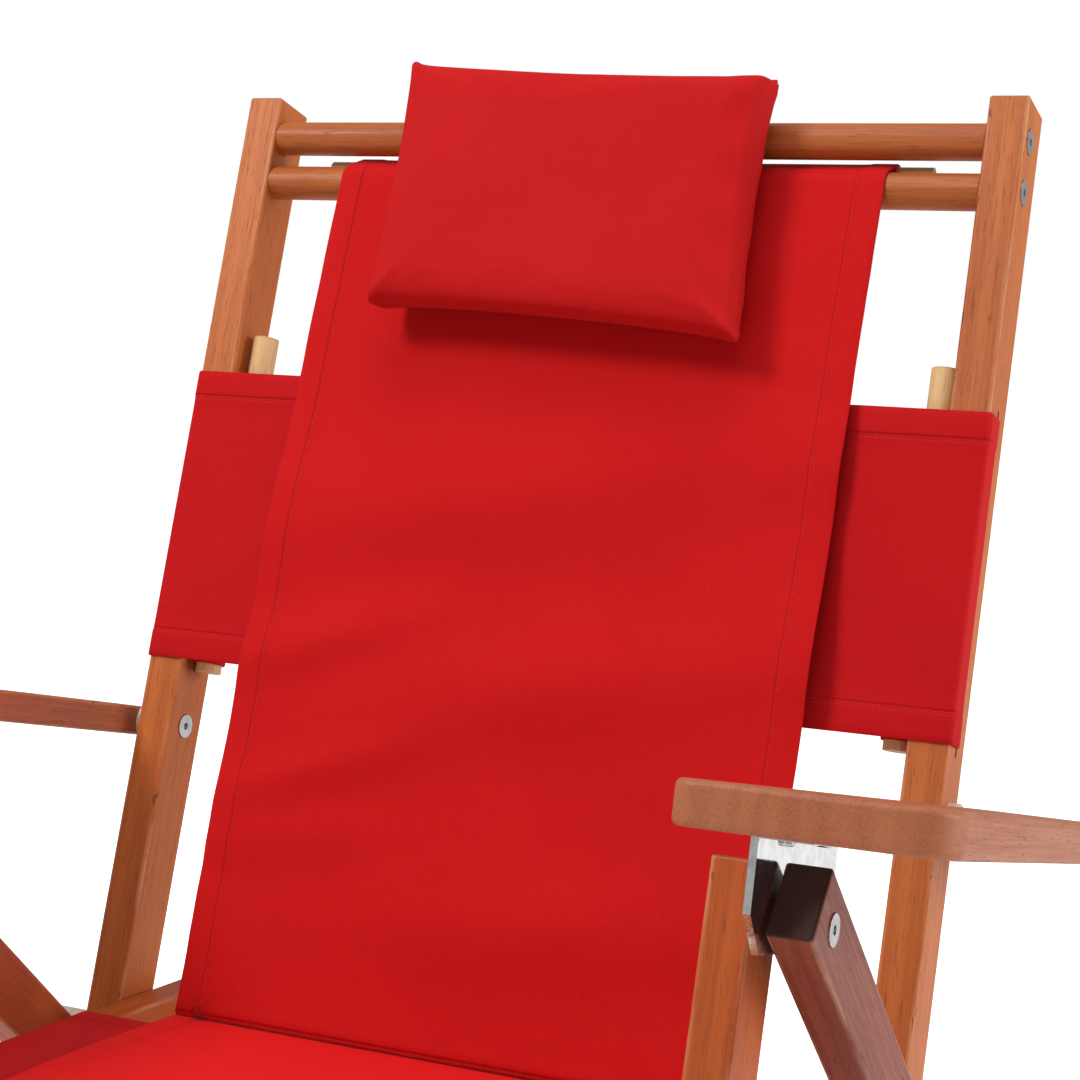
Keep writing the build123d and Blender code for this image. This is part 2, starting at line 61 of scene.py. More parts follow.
# directions of a member: along it, and out of its back
def directions(lean):
    turn = math.radians(lean)
    return Vector((0, math.sin(turn), math.cos(turn))), Vector((0, math.cos(turn), -math.sin(turn)))


# gives a function from x, y out of the back and z along it to a place in the chair,
# for a frame where the point called known is at y and z
def placer(lean, known, y, z):
    along, out = directions(lean)
    start = Vector(known) - out * y - along * z
    start.x = 0

    def place(px, py, pz):
        return start + Vector((px, 0, 0)) + out * py + along * pz
    return place


railBack = 0.014       # cross rail centre behind the post's front face
slingBarUp = 0.415     # along the post, from its frame's origin
seatBarDown = -0.012
seatBarAlong = -0.368
onBack = placer(leans["back"], middleOf("sling_bar"), railBack, slingBarUp)
onSeat = placer(leans["seat"], middleOf("seat_sling_bar"), seatBarDown, seatBarAlong)

camera = {
    "place": (0.6640, -1.2298, 0.9022),
    "pitch": 79.79,     # up from straight down
    "yaw": 24.70,
    "lens": 78.64,
    "sensor": 36.0,
}
bpy.ops.object.camera_add(
    location=camera["place"],
    rotation=(math.radians(camera["pitch"]), 0, math.radians(camera["yaw"])),
)
eye = bpy.context.object
eye.data.lens = camera["lens"]
eye.data.sensor_width = camera["sensor"]
eye.data.clip_start = 0.05
eye.data.clip_end = 60
bpy.context.scene.camera = eye
bpy.context.scene.view_settings.view_transform = "Standard"

lamps = {
    "key": {"place": (-1.4, -1.6, 3.0), "size": 1.0, "watts": 60, "tint": (1.0, 0.98, 0.95)},
    "fill": {"place": (3.0, 0.9, 1.3), "size": 1.8, "watts": 58, "tint": (1.0, 1.0, 1.0)},
    "top": {"place": (0.0, -0.1, 3.2), "size": 2.0, "watts": 25, "tint": (1.0, 1.0, 1.0)},
    "low": {"place": (0.2, -3.2, 0.3), "size": 2.0, "watts": 9, "tint": (1.0, 0.98, 0.96)},
}
aim = Vector((0.0, 0.0, 0.5))
for name, lamp in lamps.items():
    spot = Vector(lamp["place"])
    turn = (aim - spot).to_track_quat("-Z", "Y").to_euler()
    bpy.ops.object.light_add(type="AREA", location=spot, rotation=turn)
    light = bpy.context.object
    light.name = name + "Lamp"
    light.data.shape = "DISK"
    light.data.size = lamp["size"]
    light.data.energy = lamp["watts"]
    light.data.color = lamp["tint"]


# helpers for node trees: put adds a node, and what is fed is linked where it is a socket
# and set where it is a value
def put(tree, kind, feed=None, **settings):
    node = tree.nodes.new("ShaderNode" + kind)
    for key, value in settings.items():
        setattr(node, key, value)
    for key, value in (feed or {}).items():
        if isinstance(value, bpy.types.NodeSocket):
            tree.links.new(value, node.inputs[key])
        else:
            node.inputs[key].default_value = value
    return node


def give(tree, node, key, value):
    if isinstance(value, bpy.types.NodeSocket):
        tree.links.new(value, node.inputs[key])
    else:
        node.inputs[key].default_value = value


def maths(tree, operation, a, b=0.0):
    return put(tree, "Math", {0: a, 1: b}, operation=operation).outputs[0]


def stretched(tree, vector, scale):
    return put(tree, "VectorMath", {0: vector, 1: scale}, operation="MULTIPLY").outputs[0]


def cloud(tree, vector, scale, detail=2.0, rough=0.5):
    feed = {"Vector": vector, "Scale": scale, "Detail": detail, "Roughness": rough}
    return put(tree, "TexNoise", feed).outputs["Fac"]


def ramp(tree, value, low, high, toLow=0.0, toHigh=1.0):
    feed = {"Value": value, "From Min": low, "From Max": high, "To Min": toLow, "To Max": toHigh}
    return put(tree, "MapRange", feed, interpolation_type="SMOOTHSTEP").outputs["Result"]


def blendColours(tree, share, a, b, how="MIX"):
    feed = {0: share, 6: a, 7: b}
    return put(tree, "Mix", feed, data_type="RGBA", blend_type=how).outputs[2]


def apart(tree, vector):
    return put(tree, "SeparateXYZ", {0: vector}).outputs


def newGroup(name, inputs, outputs):
    group = bpy.data.node_groups.new(name, "ShaderNodeTree")
    for label, kind in inputs:
        group.interface.new_socket(label, in_out="INPUT", socket_type="NodeSocket" + kind)
    for label, kind in outputs:
        group.interface.new_socket(label, in_out="OUTPUT", socket_type="NodeSocket" + kind)
    return group, group.nodes.new("NodeGroupInput").outputs, group.nodes.new("NodeGroupOutput")


def newMaterial(name):
    material = bpy.data.materials.new(name)
    material.use_nodes = True
    tree = material.node_tree
    return material, tree, tree.nodes["Principled BSDF"]


def dress(piece, material):
    piece.data.materials.clear()
    piece.data.materials.append(material)


sky = {"shown": 1.0, "lights": 0.34}
world = bpy.data.worlds.new("studio")
bpy.context.scene.world = world
world.use_nodes = True
air = world.node_tree
rays = put(air, "LightPath")
shown = ramp(air, rays.outputs["Is Camera Ray"], 0.0, 1.0, sky["lights"], sky["shown"])
air.nodes["Background"].inputs["Color"].default_value = (1, 1, 1, 1)
give(air, air.nodes["Background"], "Strength", shown)

floor = {"size": 16.0, "colour": (0.95, 0.95, 0.945, 1), "rough": 0.8, "glow": 0.75}
bpy.ops.mesh.primitive_plane_add(size=floor["size"], location=(0, 0, 0))
ground = bpy.context.object
ground.name = "floor"
paint, tree, shader = newMaterial("floorPaint")
shader.inputs["Base Color"].default_value = floor["colour"]
shader.inputs["Roughness"].default_value = floor["rough"]
shader.inputs["Emission Color"].default_value = (1, 1, 1, 1)
seen = put(tree, "LightPath").outputs["Is Camera Ray"]
give(tree, shader, "Emission Strength", maths(tree, "MULTIPLY", seen, floor["glow"]))
dress(ground, paint)
print("camera, lamps and floor")


# how far each pattern is drawn out along the member, its scale, and where it begins and ends
grainLook = {
    "bandStretch": (1, 0.6, 0.03), "bandScale": 22.0, "bandWander": 6.0, "bandDetail": 1.4,
    "bandSpan": (0.1, 0.95),
    "streakStretch": (1, 1, 0.02), "streakScale": 560.0, "streakRough": 0.62,
    "streakSpan": (0.3, 0.72, -0.18, 0.30),
    "fibreStretch": (1, 1, 0.04), "fibreScale": 1700.0,
    "poreStretch": (1, 1, 0.06), "poreScale": 1150.0, "poreSpan": (0.62, 0.72), "poreDepth": 0.4,
    "blotchStretch": (1, 1, 0.22), "blotchScale": 20.0, "blotchSpan": (0.3, 0.7, -0.14, 0.26),
    "ringStretch": (1, 1, 0.001), "ringScale": 300.0, "ringRough": 0.6, "ringSpan": (0.3, 0.7, 0.0, 0.22),
    "poreTint": (0.42, 0.36, 0.32, 1),
    "roughSpan": (0.2, 0.8, 0.38, 0.54), "poreRough": 0.2, "sawnRough": 0.2,
    "fibreHeight": 0.4, "poreHeight": 0.8, "streakHeight": 0.45,
    "bump": 0.35, "bumpReach": 0.0004,
}


# streaks and pores along the member, slow bands of tone, and darker sawn ends
def buildGrain():
    look = grainLook
    inputs = [("Vector", "Vector"), ("Sawn", "Float"), ("Pale", "Color"), ("Deep", "Color"),
              ("End", "Color"), ("Figure", "Float")]
    outputs = [("Colour", "Color"), ("Rough", "Float"), ("Height", "Float")]
    tree, given, made = newGroup("grain", inputs, outputs)
    at = given["Vector"]
    wave = {"Vector": stretched(tree, at, look["bandStretch"]), "Scale": look["bandScale"],
            "Distortion": look["bandWander"], "Detail": 2.0, "Detail Scale": look["bandDetail"]}
    bands = put(tree, "TexWave", wave, wave_type="BANDS", bands_direction="X").outputs["Fac"]
    along = stretched(tree, at, look["streakStretch"])
    streaks = cloud(tree, along, look["streakScale"], 3.0, look["streakRough"])
    fibre = cloud(tree, stretched(tree, at, look["fibreStretch"]), look["fibreScale"])
    pits = cloud(tree, stretched(tree, at, look["poreStretch"]), look["poreScale"], 1.0)
    pores = ramp(tree, pits, *look["poreSpan"])
    blotch = cloud(tree, stretched(tree, at, look["blotchStretch"]), look["blotchScale"])
    tone = maths(tree, "MULTIPLY", ramp(tree, bands, *look["bandSpan"]), given["Figure"])
    tone = maths(tree, "ADD", tone, ramp(tree, streaks, *look["streakSpan"]))
    tone = maths(tree, "ADD", tone, ramp(tree, blotch, *look["blotchSpan"]))
    tone = put(tree, "Clamp", {0: tone}).outputs[0]
    colour = blendColours(tree, tone, given["Pale"], given["Deep"])
    dark = blendColours(tree, 1.0, given["Deep"], look["poreTint"], "MULTIPLY")
    colour = blendColours(tree, maths(tree, "MULTIPLY", pores, look["poreDepth"]), colour, dark)
    along = stretched(tree, at, look["ringStretch"])
    rings = cloud(tree, along, look["ringScale"], 3.0, look["ringRough"])
    sawn = blendColours(tree, ramp(tree, rings, *look["ringSpan"]), given["End"], dark)
    give(tree, made, "Colour", blendColours(tree, given["Sawn"], colour, sawn))
    rough = ramp(tree, streaks, *look["roughSpan"])
    rough = maths(tree, "ADD", rough, maths(tree, "MULTIPLY", pores, look["poreRough"]))
    rough = maths(tree, "ADD", rough, maths(tree, "MULTIPLY", given["Sawn"], look["sawnRough"]))
    give(tree, made, "Rough", rough)
    height = maths(tree, "MULTIPLY", fibre, look["fibreHeight"])
    height = maths(tree, "SUBTRACT", height, maths(tree, "MULTIPLY", pores, look["poreHeight"]))
    height = maths(tree, "ADD", height, maths(tree, "MULTIPLY", streaks, look["streakHeight"]))
    give(tree, made, "Height", height)
    return tree


wearLook = {
    "patchStretch": (1, 1, 0.3), "patchScale": 60.0, "patchSpan": (0.35, 0.65),
    "speckStretch": (1, 1, 0.35), "speckScale": 240.0, "speckSpan": (0.69, 0.73),
    "rubbedWithin": (0.0015, 0.0030),    # both distances from the arris, added up
    "chipsWithin": (0.0018, 0.0042),
    "rubbedTint": (1.0, 0.75, 0.5, 1), "rubbedBlend": 0.35, "rubbedShown": 0.4,
    "chipTint": (0.3, 0.25, 0.22, 1), "chipShown": 0.65,
}


# masks for rubbed arrises and small chips on a squared timber, from its middle and half sizes
def buildWear():
    look = wearLook
    inputs = [("Vector", "Vector"), ("Middle", "Vector"), ("Half", "Vector")]
    tree, given, made = newGroup("edgeWear", inputs, [("Rubbed", "Float"), ("Chips", "Float")])
    place = apart(tree, given["Vector"])
    middle = apart(tree, given["Middle"])
    half = apart(tree, given["Half"])
    inX = maths(tree, "SUBTRACT", maths(tree, "ABSOLUTE", place["X"]), middle["X"])
    inX = maths(tree, "ABSOLUTE", inX)
    inY = maths(tree, "ABSOLUTE", maths(tree, "SUBTRACT", place["Y"], middle["Y"]))
    fromSide = maths(tree, "SUBTRACT", half["X"], inX)
    fromEdge = maths(tree, "ADD", fromSide, maths(tree, "SUBTRACT", half["Y"], inY))
    patches = cloud(tree, stretched(tree, given["Vector"], look["patchStretch"]), look["patchScale"])
    patches = ramp(tree, patches, *look["patchSpan"])
    specks = cloud(tree, stretched(tree, given["Vector"], look["speckStretch"]), look["speckScale"], 1.0)
    specks = ramp(tree, specks, *look["speckSpan"])
    rubbed = ramp(tree, fromEdge, *look["rubbedWithin"], 1.0, 0.0)
    chips = ramp(tree, fromEdge, *look["chipsWithin"], 1.0, 0.0)
    give(tree, made, "Rubbed", maths(tree, "MULTIPLY", rubbed, patches))
    give(tree, made, "Chips", maths(tree, "MULTIPLY", chips, specks))
    return tree


grain = buildGrain()
edgeWear = buildWear()

tones = {
    "honey": {"pale": (0.53, 0.142, 0.026, 1), "deep": (0.36, 0.078, 0.012, 1),
              "end": (0.34, 0.080, 0.018, 1), "figure": 0.35},
    "dowel": {"pale": (0.47, 0.128, 0.026, 1), "deep": (0.31, 0.068, 0.012, 1),
              "end": (0.30, 0.070, 0.016, 1), "figure": 0.35},
    "amber": {"pale": (0.45, 0.086, 0.011, 1), "deep": (0.30, 0.047, 0.006, 1),
              "end": (0.26, 0.050, 0.010, 1), "figure": 0.4},
    "russet": {"pale": (0.52, 0.100, 0.023, 1), "deep": (0.34, 0.055, 0.013, 1),
               "end": (0.16, 0.030, 0.010, 1), "figure": 0.4},
    # darker than the left rear leg's russet: partly the wood's own tone and partly painted shade on faces
    # turned down; the near-black sawn top end is end grain with a painted shadow from the arm above
    "chestnutAndPaintedShade": {"pale": (0.27, 0.058, 0.026, 1), "deep": (0.15, 0.026, 0.011, 1),
                 "end": (0.035, 0.009, 0.006, 1), "figure": 0.4},
    "rose": {"pale": (0.42, 0.132, 0.056, 1), "deep": (0.30, 0.080, 0.030, 1),
             "end": (0.34, 0.088, 0.028, 1), "figure": 0.25},
    "pale": {"pale": (0.74, 0.48, 0.23, 1), "deep": (0.58, 0.35, 0.15, 1),
             "end": (0.62, 0.40, 0.19, 1), "figure": 0.25},
}
timbers = {
    "post": {"lean": leans["back"], "tone": "honey", "squared": True, "shift": (0, 0, 0),
             "on": ["right_back_post", "left_back_post"]},
    "rail": {"lean": leans["seat"], "tone": "amber", "squared": True, "shift": (0.3, 0.2, 0.4),
             "on": ["right_seat_rail", "left_seat_rail"]},
    "frontLeg": {"lean": leans["frontLeg"], "tone": "amber", "squared": True,
                 "shift": (0.7, 0.1, 0.1), "on": ["right_front_leg", "left_front_leg"]},
    # the right rear leg takes the tone darkened with painted shade
    "rearLeg": {"lean": leans["rearLeg"], "tone": "chestnutAndPaintedShade", "squared": True,
                "shift": (0.1, 0.6, 0.8), "on": ["right_rear_leg"]},
    "otherRearLeg": {"lean": leans["rearLeg"], "tone": "russet", "squared": True,
                     "shift": (0.4, 0.2, 0.1), "on": ["left_rear_leg"]},
    "arm": {"lean": leans["arm"], "tone": "rose", "squared": True, "shift": (0.5, 0.9, 0.3),
            "on": ["right_arm", "left_arm"]},
    "bar": {"lean": None, "tone": "dowel", "squared": False, "shift": (0.2, 0.4, 0.9),
            "on": ["upper_back_rail", "sling_bar", "front_seat_rail", "seat_sling_bar",
                   "rear_seat_rail", "front_stretcher", "rear_stretcher"]},
    "slingRod": {"lean": None, "tone": "pale", "squared": False, "shift": (0.1, 0.1, 0.1),
                 "on": ["back_sling_rod", "seat_sling_rod"]},
    "bandRod": {"lean": leans["back"], "tone": "pale", "squared": False, "shift": (0.6, 0.1, 0.2),
                "on": ["right_back_band_rod", "left_back_band_rod"]},
    "seatRod": {"lean": leans["seat"], "tone": "pale", "squared": False, "shift": (0.9, 0.3, 0.5),
                "on": ["right_seat_band_rod", "left_seat_band_rod"]},
}
polishCoat = {"weight": 0.06, "rough": 0.35, "shine": 0.3, "sawnFrom": 0.0014, "sawnTo": 0.0003}


def spanOf(node, way):
    reach = [vertex.co.dot(way) for vertex in nodes[node].data.vertices]
    return min(reach), max(reach)


def finishWood(name, timber):
    tone = tones[timber["tone"]]
    wood, tree, shader = newMaterial(name + "Wood")
    lean = timber["lean"]
    turn = (0, math.radians(-90), 0) if lean is None else (math.radians(lean), 0, 0)
    spot = put(tree, "TexCoord").outputs["Object"]
    laid = put(tree, "Mapping", {"Vector": spot, "Rotation": turn}).outputs[0]
    moved = put(tree, "VectorMath", {0: laid, 1: timber["shift"]}, operation="ADD").outputs[0]
    along, out = (Vector((1, 0, 0)), None) if lean is None else directions(lean)
    high = spanOf(timber["on"][0], along)[1]
    ends = ramp(tree, apart(tree, laid)["Z"], high - polishCoat["sawnFrom"], high - polishCoat["sawnTo"])
    feed = {"Vector": moved, "Sawn": ends, "Pale": tone["pale"], "Deep": tone["deep"],
            "End": tone["end"], "Figure": tone["figure"]}
    lines = put(tree, "Group", node_tree=grain)
    for key, value in feed.items():
        give(tree, lines, key, value)
    colour = lines.outputs["Colour"]
    if timber["squared"]:
        inner, outer = sorted(abs(x) for x in spanOf(timber["on"][0], Vector((1, 0, 0))))
        front, rear = spanOf(timber["on"][0], out)
        worn = put(tree, "Group", node_tree=edgeWear)
        give(tree, worn, "Vector", laid)
        give(tree, worn, "Middle", ((inner + outer) / 2, (front + rear) / 2, 0))
        give(tree, worn, "Half", ((outer - inner) / 2, (rear - front) / 2, 0))
        light = blendColours(tree, wearLook["rubbedBlend"], tone["pale"], wearLook["rubbedTint"])
        dark = blendColours(tree, 1.0, tone["deep"], wearLook["chipTint"], "MULTIPLY")
        rubbed = maths(tree, "MULTIPLY", worn.outputs["Rubbed"], wearLook["rubbedShown"])
        colour = blendColours(tree, rubbed, colour, light)
        chips = maths(tree, "MULTIPLY", worn.outputs["Chips"], wearLook["chipShown"])
        colour = blendColours(tree, chips, colour, dark)
    give(tree, shader, "Base Color", colour)
    give(tree, shader, "Roughness", lines.outputs["Rough"])
    feed = {"Height": lines.outputs["Height"], "Strength": grainLook["bump"],
            "Distance": grainLook["bumpReach"]}
    give(tree, shader, "Normal", put(tree, "Bump", feed).outputs[0])
    shader.inputs["Specular IOR Level"].default_value = polishCoat["shine"]
    shader.inputs["Coat Weight"].default_value = polishCoat["weight"]
    shader.inputs["Coat Roughness"].default_value = polishCoat["rough"]
    return wood


for name, timber in timbers.items():
    wood = finishWood(name, timber)
    for node in timber["on"]:
        dress(nodes[node], wood)
print("wood finishes")


platingLook = {
    "hazeScale": 140.0, "hazeSpan": (0.35, 0.7, 0.0, 0.35), "hazeTint": (0.5, 0.48, 0.46, 1),
    "scratchScale": 900.0, "scratchRough": 0.7, "scratchSpan": (0.35, 0.75, -0.04, 0.14),
    "bumpReach": 0.0001,
}


# cloudy plating and fine scratches
def buildPlating():
    look = platingLook
    inputs = [("Vector", "Vector"), ("Lines", "Vector"), ("Colour", "Color"), ("Dull", "Float")]
    outputs = [("Colour", "Color"), ("Rough", "Float"), ("Height", "Float")]
    tree, given, made = newGroup("plating", inputs, outputs)
    haze = ramp(tree, cloud(tree, given["Vector"], look["hazeScale"], 3.0), *look["hazeSpan"])
    drawn = stretched(tree, given["Vector"], given["Lines"])
    scratch = cloud(tree, drawn, look["scratchScale"], 3.0, look["scratchRough"])
    hazy = blendColours(tree, haze, given["Colour"], look["hazeTint"], "MULTIPLY")
    give(tree, made, "Colour", hazy)
    rough = maths(tree, "ADD", given["Dull"], ramp(tree, scratch, *look["scratchSpan"]))
    give(tree, made, "Rough", rough)
    give(tree, made, "Height", scratch)
    return tree


plating = buildPlating()
metals = {
    "zinc": {"colour": (0.60, 0.60, 0.60, 1), "dull": 0.30, "lines": (1, 1, 1), "bump": 0.08,
             "on": ["back_rail_bolts", "seat_rail_bolts", "seat_pivot_bolts", "seat_pivot_nuts",
                    "seat_front_bolts", "seat_front_nuts", "front_stretcher_bolts", "cross_pivot_bolts",
                    "cross_pivot_nuts", "rear_stretcher_bolts", "arm_pivot_bolts", "left_barrel_nut",
                    "right_barrel_nut", "left_bracket_screws", "right_bracket_screws"]},
    "mirror": {"colour": (0.95, 0.955, 0.96, 1), "dull": 0.09, "lines": (1, 0.03, 1), "bump": 0.03,
               "on": ["left_bracket", "right_bracket"]},
}
for name, metal in metals.items():
    steel, tree, shader = newMaterial(name + "Steel")
    finish = put(tree, "Group", node_tree=plating)
    give(tree, finish, "Vector", put(tree, "TexCoord").outputs["Object"])
    give(tree, finish, "Lines", metal["lines"])
    give(tree, finish, "Colour", metal["colour"])
    give(tree, finish, "Dull", metal["dull"])
    give(tree, shader, "Base Color", finish.outputs["Colour"])
    give(tree, shader, "Roughness", finish.outputs["Rough"])
    feed = {"Height": finish.outputs["Height"], "Strength": metal["bump"],
            "Distance": platingLook["bumpReach"]}
    give(tree, shader, "Normal", put(tree, "Bump", feed).outputs[0])
    shader.inputs["Metallic"].default_value = 1.0
    for node in metal["on"]:
        dress(nodes[node], steel)

nylon = {"colour": (0.78, 0.69, 0.58, 1), "stain": (0.62, 0.52, 0.41, 1), "rough": 0.42,
         "stainScale": 160.0, "stainSpan": (0.4, 0.8), "turned": (0.1, 1, 1), "turnedScale": 900.0,
         "bump": 0.1, "bumpReach": 0.0002,
         "on": ["seat_pivot_sleeves", "seat_pivot_washers", "seat_front_washers", "arm_pivot_washers",
                "cross_pivot_inner_washers", "cross_pivot_outer_washers"]}
plastic, tree, shader = newMaterial("nylon")
spot = put(tree, "TexCoord").outputs["Object"]
stain = ramp(tree, cloud(tree, spot, nylon["stainScale"], 3.0), *nylon["stainSpan"])
give(tree, shader, "Base Color", blendColours(tree, stain, nylon["colour"], nylon["stain"]))
turned = cloud(tree, stretched(tree, spot, nylon["turned"]), nylon["turnedScale"])
feed = {"Height": turned, "Strength": nylon["bump"], "Distance": nylon["bumpReach"]}
give(tree, shader, "Normal", put(tree, "Bump", feed).outputs[0])
shader.inputs["Roughness"].default_value = nylon["rough"]
for node in nylon["on"]:
    dress(nodes[node], plastic)
print("metal and nylon finishes")


weaveLook = {
    "wobbleScale": 260.0, "wobble": 0.35,
    "slubStretch": 0.02, "slubScale": 1100.0, "slubSpan": (0.6, 1.4, -0.14, 0.14),
    "crossShade": 0.16, "height": 0.5, "bump": 0.35, "bumpReach": 0.0003,
}


# plain weave with slubs; the vector is in metres on the cloth
def buildWeave():
    look = weaveLook
    outputs = [("Shade", "Float"), ("Height", "Float")]
    tree, given, made = newGroup("weave", [("Vector", "Vector"), ("Threads", "Float")], outputs)
    at = given["Vector"]
    part = apart(tree, at)
    wobble = ramp(tree, cloud(tree, at, look["wobbleScale"]), 0.0, 1.0, -look["wobble"], look["wobble"])
    threads = []
    for axis in ("X", "Y"):
        count = maths(tree, "ADD", maths(tree, "MULTIPLY", part[axis], given["Threads"]), wobble)
        threads.append(maths(tree, "SINE", maths(tree, "MULTIPLY", count, 2 * math.pi)))
    cross = maths(tree, "MULTIPLY", threads[0], threads[1])
    thin = look["slubStretch"]
    slubs = [
        cloud(tree, stretched(tree, at, drawn), look["slubScale"], 1.0)
        for drawn in ((1, thin, 1), (thin, 1, 1))
    ]
    slub = maths(tree, "ADD", slubs[0], slubs[1])
    shade = maths(tree, "MULTIPLY", cross, look["crossShade"])
    give(tree, made, "Shade", maths(tree, "ADD", shade, ramp(tree, slub, *look["slubSpan"])))
    height = maths(tree, "MULTIPLY", cross, look["height"])
    height = maths(tree, "ADD", height, maths(tree, "MULTIPLY", slub, look["height"]))
    give(tree, made, "Height", height)
    return tree


# distances from the row, in metres, and shares of one stitch
stitchLook = {
    "threadWithin": (0.00025, 0.0005), "threadEnds": (0.32, 0.42),
    "grooveWithin": (0.0004, 0.0026),
    "puckerStretch": (0.35, 1, 1), "puckerScale": 110.0, "puckerWithin": (0.001, 0.014),
    "threadHeight": 0.8, "puckerHeight": 0.9, "bump": 0.8, "bumpReach": 0.0009,
}


# a row of stitches; the vector's x is the distance from the row and its y the distance along it
def buildStitches():
    look = stitchLook
    outputs = [("Thread", "Float"), ("Height", "Float")]
    tree, given, made = newGroup("stitches", [("Vector", "Vector"), ("Pitch", "Float")], outputs)
    part = apart(tree, given["Vector"])
    off = maths(tree, "ABSOLUTE", part["X"])
    step = maths(tree, "FRACT", maths(tree, "DIVIDE", part["Y"], given["Pitch"]))
    ends = maths(tree, "ABSOLUTE", maths(tree, "SUBTRACT", step, 0.5))
    threadAndHighlight = maths(
        tree, "MULTIPLY",
        ramp(tree, off, *look["threadWithin"], 1.0, 0.0),
        ramp(tree, ends, *look["threadEnds"], 1.0, 0.0),
    )
    groove = ramp(tree, off, *look["grooveWithin"], 1.0, 0.0)
    drawn = stretched(tree, given["Vector"], look["puckerStretch"])
    pucker = cloud(tree, drawn, look["puckerScale"], 1.0)
    pull = maths(tree, "MULTIPLY", ramp(tree, off, *look["puckerWithin"], 1.0, 0.0), pucker)
    height = maths(tree, "SUBTRACT", maths(tree, "MULTIPLY", threadAndHighlight, look["threadHeight"]), groove)
    height = maths(tree, "ADD", height, maths(tree, "MULTIPLY", pull, look["puckerHeight"]))
    give(tree, made, "Thread", threadAndHighlight)
    give(tree, made, "Height", height)
    return tree


weave = buildWeave()
stitches = buildStitches()
cloths = {
    "sling": {"colour": (0.530, 0.0034, 0.0043, 1), "faded": (0.600, 0.0074, 0.0084, 1)},
    # the seat's canvas is the sling's red painted lighter: painted light on the seat, which faces up to
    # the lamps
    "seat": {"colour": (0.680, 0.0050, 0.0055, 1), "faded": (0.740, 0.0100, 0.0105, 1)},
    "band": {"colour": (0.500, 0.0034, 0.0056, 1), "faded": (0.570, 0.0076, 0.0110, 1)},
    "pillow": {"colour": (0.490, 0.0044, 0.0053, 1), "faded": (0.560, 0.0090, 0.0100, 1)},
}
canvasLook = {
    # the stitch thread's colour is the thread painted lighter than the canvas, a painted highlight on the
    # raised stitches
    "threads": 800.0, "pitch": 0.0036, "threadAndHighlight": (0.70, 0.030, 0.032, 1), "threadHighlightShown": 0.6,
    "fadeScale": 9.0, "fadeSpan": (0.3, 0.75, 0.1, 0.4), "rough": (0.0, 1.0, 0.88, 0.76),
    "sheen": 0.06, "sheenRough": 0.4, "sheenTint": (1.0, 0.2, 0.2, 1), "shine": 0.16,
}


def finishCloth(name):
    cloth = cloths[name]
    canvas, tree, shader = newMaterial(name + "Canvas")
    flat = put(tree, "UVMap", uv_map="cloth").outputs[0]
    rows = put(tree, "UVMap", uv_map="seams").outputs[0]
    woven = put(tree, "Group", node_tree=weave)
    give(tree, woven, "Vector", flat)
    give(tree, woven, "Threads", canvasLook["threads"])
    sewn = put(tree, "Group", node_tree=stitches)
    give(tree, sewn, "Vector", rows)
    give(tree, sewn, "Pitch", canvasLook["pitch"])
    fade = ramp(tree, cloud(tree, flat, canvasLook["fadeScale"]), *canvasLook["fadeSpan"])
    share = put(tree, "Clamp", {0: maths(tree, "ADD", fade, woven.outputs["Shade"])}).outputs[0]
    colour = blendColours(tree, share, cloth["colour"], cloth["faded"])
    # the stitches are painted lighter: the thread with a painted highlight
    threadHighlight = maths(tree, "MULTIPLY", sewn.outputs["Thread"], canvasLook["threadHighlightShown"])
    give(tree, shader, "Base Color", blendColours(tree, threadHighlight, colour, canvasLook["threadAndHighlight"]))
    give(tree, shader, "Roughness", ramp(tree, woven.outputs["Height"], *canvasLook["rough"]))
    feed = {"Height": woven.outputs["Height"], "Strength": weaveLook["bump"],
            "Distance": weaveLook["bumpReach"]}
    fine = put(tree, "Bump", feed)
    feed = {"Height": sewn.outputs["Height"], "Strength": stitchLook["bump"],
            "Distance": stitchLook["bumpReach"], "Normal": fine.outputs[0]}
    give(tree, shader, "Normal", put(tree, "Bump", feed).outputs[0])
    shader.inputs["Sheen Weight"].default_value = canvasLook["sheen"]
    shader.inputs["Sheen Roughness"].default_value = canvasLook["sheenRough"]
    shader.inputs["Sheen Tint"].default_value = canvasLook["sheenTint"]
    shader.inputs["Specular IOR Level"].default_value = canvasLook["shine"]
    return canvas


# numbers, arcs and easing that the cloth sheets share
def steps(low, high, count):
    return [low + (high - low) * i / count for i in range(count + 1)]


def bend(centre, radius, start, end, count):
    turns = [math.radians(angle) for angle in steps(start, end, count)]
    return [(centre[0] + radius * math.cos(a), centre[1] + radius * math.sin(a)) for a in turns]


def soft(value, low, high):
    share = min(max((value - low) / (high - low), 0.0), 1.0)
    return share * share * (3 - 2 * share)


def lengthsOf(points):
    run = [0.0]
    for a, b in zip(points, points[1:]):
        run.append(run[-1] + (b - a).length)
    return run


# hem shape: shares of the hem, distances from its stitch line and edge, and how far edges thin
hemCut = {"line": 0.0012, "inside": (0.35, 0.7), "lip": 0.0008, "easeIn": 0.0006, "easeOut": 0.0010,
          "thin": 0.55, "fewest": 4, "smooth": 55}


